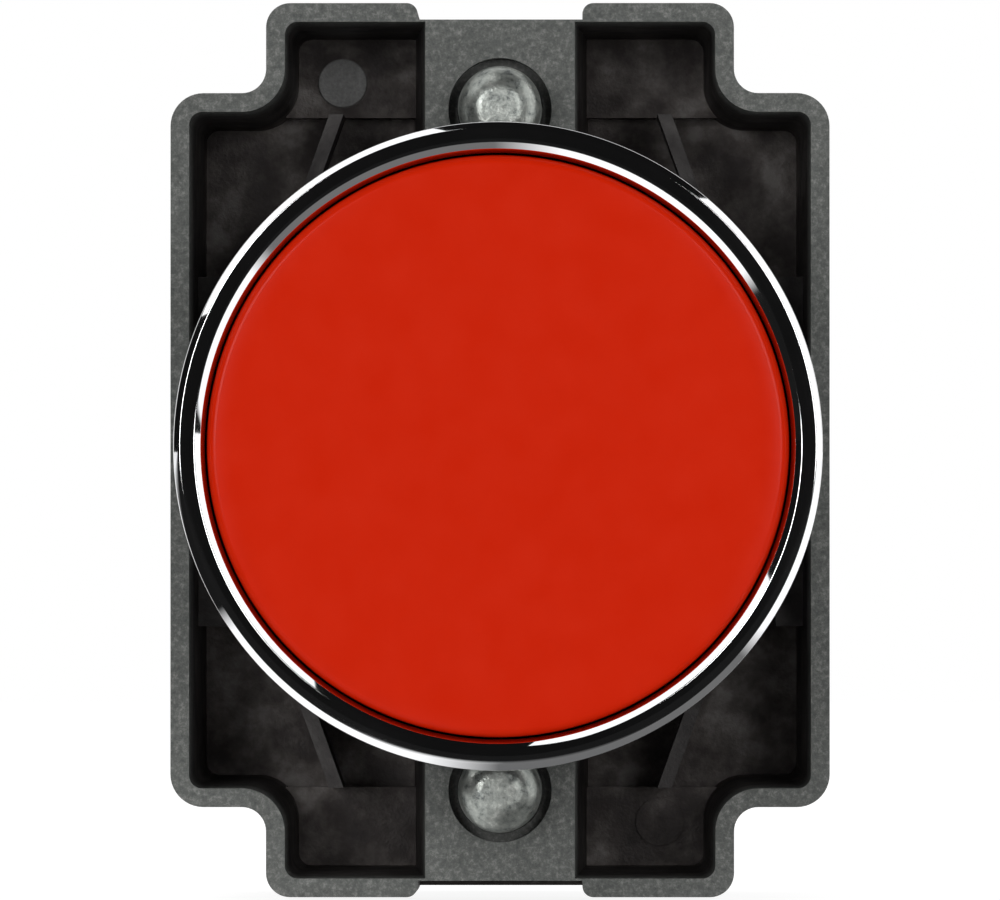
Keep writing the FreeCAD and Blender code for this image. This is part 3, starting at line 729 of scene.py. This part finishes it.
def thread(radius: float, pitch: float, front: float, back: float, steps: int) -> bmesh.types.BMesh:
    """A threaded rod with closed, square ends.

    Args:
        radius: Radius over the crests.
        pitch: Depth of one turn.
        front: Depth of the front end.
        back: Depth of the back end.
        steps: Steps in one turn.

    Returns:
        The rod.
    """
    root = radius - THREAD_DEPTH * pitch
    mesh = bmesh.new()
    turn_count = math.ceil((back - front) / pitch) + 3
    chain = [mesh.verts.new((root, front - 2 * pitch, 0.0))]
    for turn in range(turn_count):
        base = front - 2 * pitch + turn * pitch
        for share, crest in THREAD_FORM:
            chain.append(mesh.verts.new((radius if crest else root, base + share * pitch, 0.0)))
    for start, end in zip(chain, chain[1:]):
        mesh.edges.new((start, end))
    bmesh.ops.spin(mesh, geom=mesh.verts[:] + mesh.edges[:], cent=CENTRE, axis=DEPTH_AXIS,
                   dvec=DEPTH_AXIS * (pitch / steps), angle=math.tau, steps=steps)
    bmesh.ops.remove_doubles(mesh, verts=mesh.verts, dist=1e-4)
    for depth, outwards in ((front, -1.0), (back, 1.0)):
        cutting = bmesh.ops.bisect_plane(
            mesh, geom=mesh.verts[:] + mesh.edges[:] + mesh.faces[:], dist=MERGE,
            plane_co=DEPTH_AXIS * depth, plane_no=DEPTH_AXIS * outwards, clear_outer=True)
        rim = [item for item in cutting["geom_cut"] if isinstance(item, bmesh.types.BMEdge)]
        bmesh.ops.triangle_fill(mesh, edges=rim, use_beauty=True)
    bmesh.ops.recalc_face_normals(mesh, faces=mesh.faces)
    return mesh


def joined(*parts: bmesh.types.BMesh) -> bmesh.types.BMesh:
    """Put several closed shapes in one mesh, one after another.

    Args:
        *parts: The shapes; they are freed here.

    Returns:
        The one mesh.
    """
    whole = bmesh.new()
    for part in parts:
        data = bpy.data.meshes.new("joining")
        part.to_mesh(data)
        part.free()
        whole.from_mesh(data)
        bpy.data.meshes.remove(data)
    return whole


# ---------------------------------------------------------------- sub-assemblies


@dataclass
class Head:
    """Chromed bezel and barrel, with its seals and the return spring inside."""

    shop: Workshop
    bezel_radius: float = 14.5
    bezel_front: float = -9.0
    cup_radius: float = 13.25
    cup_floor: float = -2.0
    outer_bevel: float = 0.28
    inner_bevel: float = 0.28
    lip: float = 0.16
    lip_depth: float = 0.75
    lip_end: float = 1.60
    shoulder: float = 0.60
    gasket_thick: float = 0.8
    gasket_gap: float = 1.3
    wiper_gap: float = 0.04
    seal_round: float = 0.12
    barrel_radius: float = 11.0
    bore_radius: float = 8.7
    flange_bore: float = 6.08
    flange_front: float = 8.5
    flange_back: float = 10.0
    barrel_end: float = 12.0
    track_bottom: float = 9.7
    track_front: float = 8.65
    track_back: float = 10.35
    entry_bottom: float = 9.6
    entry_start: float = 9.4
    lug_margin: float = 12.5
    twist: float = 45.0
    spring_wire: float = 0.8
    spring_turns: int = 6
    steps: int = 240

    def build(self) -> None:
        """Build every piece of the head."""
        self.bezel()
        self.gasket()
        self.wiper()
        self.spring()

    def bezel(self) -> None:
        """The bezel's rim and cup with the barrel behind, and the bayonet cut in the barrel."""
        outer, cup, front = self.bezel_radius, self.cup_radius, self.bezel_front
        profile = [
            (outer, -self.gasket_thick),
            (outer, front + self.shoulder),
            (outer - 0.02, front + self.outer_bevel - 0.01),
            (outer - self.outer_bevel, front),
            (cup + self.inner_bevel + 0.02, front),
            (cup + 0.02, front + 0.75 * self.inner_bevel),
            (cup - self.lip, front + self.lip_depth),
            (cup, front + self.lip_end),
            (cup, self.cup_floor),
            (self.bore_radius, self.cup_floor),
            (self.bore_radius, self.flange_front),
            (self.flange_bore, self.flange_front),
            (self.flange_bore, self.flange_back),
            (self.bore_radius, self.flange_back),
            (self.bore_radius, self.barrel_end),
            (self.barrel_radius - 0.5, self.barrel_end),
            (self.barrel_radius, self.barrel_end - 0.5),
            (self.barrel_radius, -self.gasket_thick),
        ]
        rounds = {0: 0.15, 2: 0.03, 3: 0.03, 4: 0.03, 5: 0.03, 6: 0.05, 8: 0.4, 9: 0.2}
        solid = turned(profile, self.steps, rounds=rounds)
        cutters = []
        for half in (0.0, 180.0):
            cutters.append(ring_sector(
                self.track_bottom, outer, self.track_front, self.track_back,
                half - self.lug_margin, 2 * self.lug_margin + self.twist))
            cutters.append(ring_sector(
                self.entry_bottom, outer, self.entry_start, self.barrel_end + 0.5,
                half + self.twist - self.lug_margin - 0.5, 2 * self.lug_margin + 1.0))
        self.shop.finish(cut(solid, cutters), "bezel_barrel")

    def gasket(self) -> None:
        """Flat rubber washer behind the bezel."""
        self.washer("panel_gasket", self.barrel_radius + self.gasket_gap)

    def wiper(self) -> None:
        """Rubber wiper at the bottom of the cup."""
        self.washer("wiper_seal", self.bore_radius + self.wiper_gap)

    def washer(self, node: str, inner: float) -> None:
        """A flat rubber ring in the place of its CAD node.

        Args:
            node: The CAD node.
            inner: Radius of the hole, in millimetres.
        """
        low, high = (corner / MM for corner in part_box(node))
        self.shop.finish(soft_ring(inner, high.x, low.y, high.y, self.seal_round), node)

    def spring(self) -> None:
        """Return spring, wound in the place of its CAD node."""
        low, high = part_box("return_spring")
        coil = helix(high.x / MM - self.spring_wire / 2, self.spring_wire,
                     low.y / MM, high.y / MM, self.spring_turns)
        piece = self.shop.finish(coil, "return_spring")
        travel = self.shop.travel("button_press")
        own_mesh(piece)


def soft_ring(inner: float, outer: float, front: float, back: float,
              rounding: float) -> bmesh.types.BMesh:
    """A washer with rounded edges.

    Args:
        inner: Inner radius.
        outer: Outer radius.
        front: Front depth.
        back: Back depth.
        rounding: Radius of its four edges.

    Returns:
        The washer.
    """
    profile = [(inner, front), (outer, front), (outer, back), (inner, back)]
    return turned(profile, RING_STEPS, rounds={index: rounding for index in range(4)})


def helix(radius: float, wire: float, front: float, back: float, turns: int) -> bmesh.types.BMesh:
    """A round wire wound between two depths.

    Args:
        radius: Radius of the wire's middle line.
        wire: Diameter of the wire.
        front: Front of the first turn.
        back: Back of the last turn.
        turns: Number of turns.

    Returns:
        The wound wire, closed at both ends.
    """
    steps = TURN_STEPS * turns
    rise = (back - front - wire) / steps
    mesh = bmesh.new()
    ring = bmesh.ops.create_circle(mesh, cap_ends=True, segments=WIRE_FACETS,
                                   radius=wire / 2)["verts"]
    bmesh.ops.translate(mesh, verts=ring, vec=Vector((radius, front + wire / 2, 0.0)))
    geometry = mesh.verts[:] + mesh.edges[:] + mesh.faces[:]
    bmesh.ops.spin(mesh, geom=geometry, cent=CENTRE, axis=DEPTH_AXIS, dvec=DEPTH_AXIS * rise,
                   angle=math.tau * turns, steps=steps)
    bmesh.ops.recalc_face_normals(mesh, faces=mesh.faces)
    return mesh


@dataclass
class Button:
    """Red cap on its plunger."""

    shop: Workshop
    radius: float = 13.0
    front: float = -8.7
    back: float = -6.5
    thick: float = 1.6
    wall: float = 1.0
    boss_radius: float = 4.5
    boss_length: float = 2.4
    edge_band: float = 1.2
    steps: int = 240

    def build(self) -> None:
        """Build the cap; the plunger keeps its CAD shape."""
        inside = self.front + self.thick
        profile = [
            (0.0, self.front),
            (self.radius - self.edge_band, self.front),
            (self.radius, self.front),
            (self.radius, self.back),
            (self.radius - self.wall, self.back),
            (self.radius - self.wall, inside),
            (self.boss_radius, inside),
            (self.boss_radius, inside + self.boss_length),
            (0.0, inside + self.boss_length),
        ]
        rounds = {2: 0.40, 3: 0.1, 4: 0.1, 5: 0.3, 6: 0.3, 7: 0.15}
        cap = turned(profile, self.steps, closed=False, rounds=rounds)
        self.shop.finish(cap, "button_cap")
        self.shop.softened("push_foot", 0.12)


@dataclass
class Screw:
    """A slotted cheese-head screw along Y, with its tip to the front."""

    shop: Workshop
    node: str
    slot: float
    head_thick: float
    radius: float
    pitch: float
    point: float
    steps: int
    head_steps: int = 96

    def build(self) -> None:
        """Build the screw in the place of its CAD node."""
        low, high = (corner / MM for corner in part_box(self.node))
        middle = (low + high) / 2
        head_radius = (high.x - low.x) / 2
        under_head = high.y - self.head_thick
        head = turned([
            (0.0, under_head), (head_radius, under_head), (head_radius, high.y), (0.0, high.y),
        ], self.head_steps, closed=False, rounds={1: 0.10, 2: 0.28})
        half = self.slot / 2
        slot = block((-half, high.y - self.head_thick / 2, -2 * head_radius),
                     (half, high.y + 1.0, 2 * head_radius))
        head = cut(head, [slot])
        rod = thread(self.radius, self.pitch, low.y + self.point, under_head + 0.02, self.steps)
        whole = joined(head, self.tip(low.y), rod)
        self.shop.finish(moved(whole, middle.x, middle.z), self.node)

    def tip(self, front: float) -> bmesh.types.BMesh:
        """The plain, rounded point in front of the thread.

        Args:
            front: Depth of the end.

        Returns:
            The point, sunk into the threaded rod.
        """
        back = front + self.point + 0.3 * self.pitch
        profile = [
            (0.0, front), (0.62 * self.radius, front), (self.radius, front + 0.42 * self.radius),
            (self.radius, back), (0.0, back),
        ]
        rounds = {1: 0.22 * self.radius, 2: 0.24 * self.radius}
        return turned(profile, self.steps, closed=False, rounds=rounds)


@dataclass
class Collar:
    """Die-cast fixing collar with its two clamp screws."""

    shop: Workshop

    def build(self) -> None:
        """Soften the casting's edges and thread its screws."""
        self.shop.softened("fixing_collar", 0.16, segments=3)
        for end in ("top", "bottom"):
            Screw(self.shop, "clamp_screw_" + end, slot=1.0, head_thick=2.2, radius=1.9, pitch=0.7,
                  point=1.4, steps=72).build()


@dataclass
class ContactBlock:
    """One contact block: its case, cover, screws, contacts and springs."""

    shop: Workshop
    side: Side
    spring_slack: float = 0.03

    def build(self) -> None:
        """Build the pieces of this block that show, and its springs."""
        for name, width in (("housing", 0.14), ("cover", 0.14), ("plunger", 0.12)):
            self.shop.softened(self.side.prefix + name, width)
        for end in ("upper", "lower"):
            self.shop.softened("%ssaddle_%s" % (self.side.prefix, end), 0.08)
            Screw(self.shop, "%sterminal_screw_%s" % (self.side.prefix, end), slot=0.7,
                  head_thick=1.8, radius=1.47, pitch=0.5, point=0.8, steps=32).build()
        Screw(self.shop, self.side.prefix + "mounting_screw", slot=0.6, head_thick=1.4, radius=1.2,
              pitch=0.45, point=0.7, steps=32).build()
        self.springs()

    def springs(self) -> None:
        """Copies of the block's two springs; the contact spring rides on the bridge or the plunger.
        """
        push, lift = (self.side.prefix + name + "_travel" for name in ("plunger", "bridge"))
        node = self.side.prefix + "plunger_spring"
        low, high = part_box(node)
        piece = self.shop.finish(self.shop.copy_of(node), node, scale=1.0)
        1.0 - self.shop.travel(push) / (high.y - low.y)
        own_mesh(piece)
        node = self.side.prefix + "contact_spring"
        mesh = self.shop.copy_of(node)
        if self.side is Side.NC:
            self.shop.finish(mesh, node, scale=1.0, body="nc_bridge")
            return
        low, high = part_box(node)
        piece = self.shop.finish(mesh, node, scale=1.0, body="no_plunger")
        closing = self.shop.travel(push) - self.shop.travel(lift) + self.spring_slack * MM
        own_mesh(piece)


# ---------------------------------------------------------------- studio


@dataclass
class Studio:
    """Pale floor, white surroundings, soft lamps and the camera."""

    distance: float = 0.780
    camera_right: float = 0.35
    camera_below: float = 0.67
    lens: float = 617.0
    sensor: float = 36.0
    floor_size: float = 6.0
    floor_gap: float = 0.0002
    floor_grey: float = 0.80
    floor_glow: float = 0.89
    floor_shade: float = 0.30
    card_black: float = 0.01
    card_row: tuple[tuple[float, float], ...] = (
        (0.20, 0.01), (0.25, 1.1), (0.46, 1.1), (0.50, 0.16), (0.70, 0.16), (0.75, 1.1),
    )
    card_ranges: tuple[tuple[str, float, float], ...] = (
        ("X", -0.06, 0.06), ("Y", -0.10, -0.07), ("Y", 0.0, 0.04),
    )
    room_dark: tuple[float, float] = (0.58, 0.006)
    room_white: tuple[float, float] = (0.80, 1.0)
    fill: float = 0.42

    def build(self) -> None:
        """Set up everything around the object."""
        low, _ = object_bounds()
        self.floor(low[2])
        self.world()
        self.lamps()
        self.camera()

    def floor(self, height: float) -> None:
        """A plain pale floor that shows white and keeps the object's shadow.

        Args:
            height: Height of the floor, in metres.
        """
        mesh = bmesh.new()
        bmesh.ops.create_grid(mesh, x_segments=1, y_segments=1, size=self.floor_size / 2)
        bmesh.ops.translate(mesh, verts=mesh.verts,
                            vec=Vector((0.0, 0.0, height - self.floor_gap)))
        data = bpy.data.meshes.new("floor")
        mesh.to_mesh(data)
        mesh.free()
        material = bpy.data.materials.new("pale_floor")
        material.use_nodes = True
        tree = material.node_tree
        tree.nodes.clear()
        output = tree.nodes.new("ShaderNodeOutputMaterial")
        mix = tree.nodes.new("ShaderNodeMixShader")
        plain = tree.nodes.new("ShaderNodeBsdfDiffuse")
        plain.inputs["Color"].default_value = self.grey(self.floor_grey)
        shown = tree.nodes.new("ShaderNodeAddShader")
        glow = tree.nodes.new("ShaderNodeEmission")
        glow.inputs["Strength"].default_value = self.floor_glow
        shade = tree.nodes.new("ShaderNodeBsdfDiffuse")
        dimmed = tree.nodes.new("ShaderNodeVectorMath")
        dimmed.operation = "SCALE"
        dimmed.inputs["Scale"].default_value = self.floor_shade
        colour = self.cards(tree)
        tree.links.new(colour, glow.inputs["Color"])
        tree.links.new(colour, dimmed.inputs[0])
        tree.links.new(dimmed.outputs["Vector"], shade.inputs["Color"])
        tree.links.new(glow.outputs[0], shown.inputs[0])
        tree.links.new(shade.outputs[0], shown.inputs[1])
        tree.links.new(self.seen(tree), mix.inputs[0])
        tree.links.new(plain.outputs[0], mix.inputs[1])
        tree.links.new(shown.outputs[0], mix.inputs[2])
        tree.links.new(mix.outputs[0], output.inputs["Surface"])
        data.materials.append(material)
        floor = bpy.data.objects.new("floor", data)
        bpy.context.scene.collection.objects.link(floor)
        floor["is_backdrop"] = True

    def cards(self, tree: bpy.types.NodeTree) -> bpy.types.NodeSocket:
        """The floor's colour: white, but with dark and pale cards in front as gloss sees it.

        Args:
            tree: The node tree to add to.

        Returns:
            The colour.
        """
        path = tree.nodes.new("ShaderNodeLightPath")
        place = tree.nodes.new("ShaderNodeTexCoord")
        parts = tree.nodes.new("ShaderNodeSeparateXYZ")
        tree.links.new(place.outputs["Object"], parts.inputs["Vector"])
        shares = []
        for axis, start, end in self.card_ranges:
            share = tree.nodes.new("ShaderNodeMapRange")
            share.inputs["From Min"].default_value = start
            share.inputs["From Max"].default_value = end
            tree.links.new(parts.outputs[axis], share.inputs["Value"])
            shares.append(share.outputs["Result"])
        across, near, behind = shares
        row = tree.nodes.new("ShaderNodeValToRGB")
        while len(row.color_ramp.elements) < len(self.card_row):
            row.color_ramp.elements.new(0.5)
        for element, (at, grey) in zip(row.color_ramp.elements, self.card_row):
            element.position, element.color = at, self.grey(grey)
        tree.links.new(across, row.inputs["Fac"])
        ahead = self.mixed(tree, near, self.card_black, row.outputs["Color"])
        gloss = self.mixed(tree, behind, ahead, 1.0)
        return self.mixed(tree, path.outputs["Is Glossy Ray"], 1.0, gloss)

    def mixed(self, tree: bpy.types.NodeTree, share: bpy.types.NodeSocket,
              first: bpy.types.NodeSocket | float,
              second: bpy.types.NodeSocket | float) -> bpy.types.NodeSocket:
        """Mix two colours.

        Args:
            tree: The node tree to add to.
            share: What mixes them.
            first: The colour at 0, or a grey.
            second: The colour at 1, or a grey.

        Returns:
            The mixed colour.
        """
        mix = tree.nodes.new("ShaderNodeMix")
        mix.data_type = "RGBA"
        tree.links.new(share, mix.inputs["Factor"])
        for name, colour in (("A", first), ("B", second)):
            if isinstance(colour, float):
                mix.inputs[name].default_value = self.grey(colour)
            else:
                tree.links.new(colour, mix.inputs[name])
        return mix.outputs["Result"]

    @staticmethod
    def grey(level: float) -> tuple[float, float, float, float]:
        """A grey, as Blender's colours are written.

        Args:
            level: Its level.

        Returns:
            The four numbers of the colour.
        """
        return (level, level, level, 1.0)

    def seen(self, tree: bpy.types.NodeTree) -> bpy.types.NodeSocket:
        """A value of 1 where the camera, a gloss or a glass looks.

        Args:
            tree: The node tree to add to.

        Returns:
            The value.
        """
        path = tree.nodes.new("ShaderNodeLightPath")
        total: bpy.types.NodeSocket = path.outputs["Is Camera Ray"]
        for name in ("Is Glossy Ray", "Is Transmission Ray"):
            either = tree.nodes.new("ShaderNodeMath")
            either.operation = "MAXIMUM"
            tree.links.new(total, either.inputs[0])
            tree.links.new(path.outputs[name], either.inputs[1])
            total = either.outputs[0]
        return total

    def world(self) -> None:
        """White all round, but dim in front of the button where the room is dark."""
        world = bpy.data.worlds.new("studio")
        bpy.context.scene.world = world
        world.use_nodes = True
        tree = world.node_tree
        tree.nodes.clear()
        output = tree.nodes.new("ShaderNodeOutputWorld")
        around = tree.nodes.new("ShaderNodeBackground")
        white = tree.nodes.new("ShaderNodeBackground")
        mix = tree.nodes.new("ShaderNodeMixShader")
        direction = tree.nodes.new("ShaderNodeTexCoord")
        parts = tree.nodes.new("ShaderNodeSeparateXYZ")
        room = tree.nodes.new("ShaderNodeValToRGB")
        toward = tree.nodes.new("ShaderNodeMapRange")
        toward.inputs["From Min"].default_value = -1.0
        for element, (at, grey) in zip(room.color_ramp.elements, (self.room_dark, self.room_white)):
            element.position, element.color = at, self.grey(grey)
        tree.links.new(direction.outputs["Generated"], parts.inputs["Vector"])
        tree.links.new(parts.outputs["Y"], toward.inputs["Value"])
        tree.links.new(toward.outputs["Result"], room.inputs["Fac"])
        glossy = tree.nodes.new("ShaderNodeLightPath")
        even = tree.nodes.new("ShaderNodeMix")
        even.data_type = "RGBA"
        even.inputs["A"].default_value = self.grey(self.fill)
        tree.links.new(glossy.outputs["Is Glossy Ray"], even.inputs["Factor"])
        tree.links.new(room.outputs["Color"], even.inputs["B"])
        tree.links.new(even.outputs["Result"], around.inputs["Color"])
        white.inputs["Color"].default_value = self.grey(1.0)
        white.inputs["Strength"].default_value = 1.0
        tree.links.new(glossy.outputs["Is Camera Ray"], mix.inputs[0])
        tree.links.new(around.outputs[0], mix.inputs[1])
        tree.links.new(white.outputs[0], mix.inputs[2])
        tree.links.new(mix.outputs[0], output.inputs["Surface"])

    def lamps(self) -> None:
        """Two tall soft boxes beside the button, and two soft lights in front of it."""
        self.lamp("right_box", place=(0.60, -0.08, 0.255), size=(0.48, 0.72), power=1.40)
        self.lamp("left_box", place=(-0.40, -0.08, 0.535), size=(0.48, 0.70), power=1.36)
        self.lamp("front_left", place=(-0.40, -1.00, 0.12), size=(0.35, 0.50), power=3.6)
        self.lamp("front_right", place=(0.36, -1.00, 0.06), size=(0.35, 0.50), power=3.2)

    def lamp(self, name: str, place: tuple[float, float, float], size: tuple[float, float],
             power: float) -> None:
        """Add an area lamp that faces the object.

        Args:
            name: Name of the lamp.
            place: Where it stands, in metres.
            size: Its width and height, in metres.
            power: Its power, in watts.
        """
        data = bpy.data.lights.new(name, "AREA")
        data.shape = "RECTANGLE"
        data.size, data.size_y = size
        data.energy = power
        lamp = bpy.data.objects.new(name, data)
        lamp.location = place
        lamp.rotation_euler = (-Vector(place)).to_track_quat("-Z", "Y").to_euler()
        bpy.context.scene.collection.objects.link(lamp)

    def camera(self) -> None:
        """A long lens, square on to the collar and a shade below its axis."""
        aim = Vector((0.0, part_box("fixing_collar")[0].y, 0.0))
        across, down = math.radians(self.camera_right), math.radians(self.camera_below)
        away = Vector((math.sin(across), -math.cos(across) * math.cos(down), -math.sin(down)))
        data = bpy.data.cameras.new("camera")
        data.lens = self.lens
        data.sensor_width = self.sensor
        data.clip_start, data.clip_end = 0.01, 20.0
        camera = bpy.data.objects.new("camera", data)
        camera.location = aim + away * self.distance
        camera.rotation_euler = (-away).to_track_quat("-Z", "Y").to_euler()
        bpy.context.scene.collection.objects.link(camera)
        bpy.context.scene.camera = camera


def main() -> None:
    """Dress the frame and light it."""
    logging.basicConfig(level=logging.INFO, format="%(name)s %(message)s")
    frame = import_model()
    bpy.context.scene.view_settings.view_transform = "Standard"
    shop = Workshop(frame)
    Head(shop).build()
    Button(shop).build()
    Collar(shop).build()
    for side in Side:
        ContactBlock(shop, side).build()
    Studio().build()


if __name__ == "__main__":
    main()
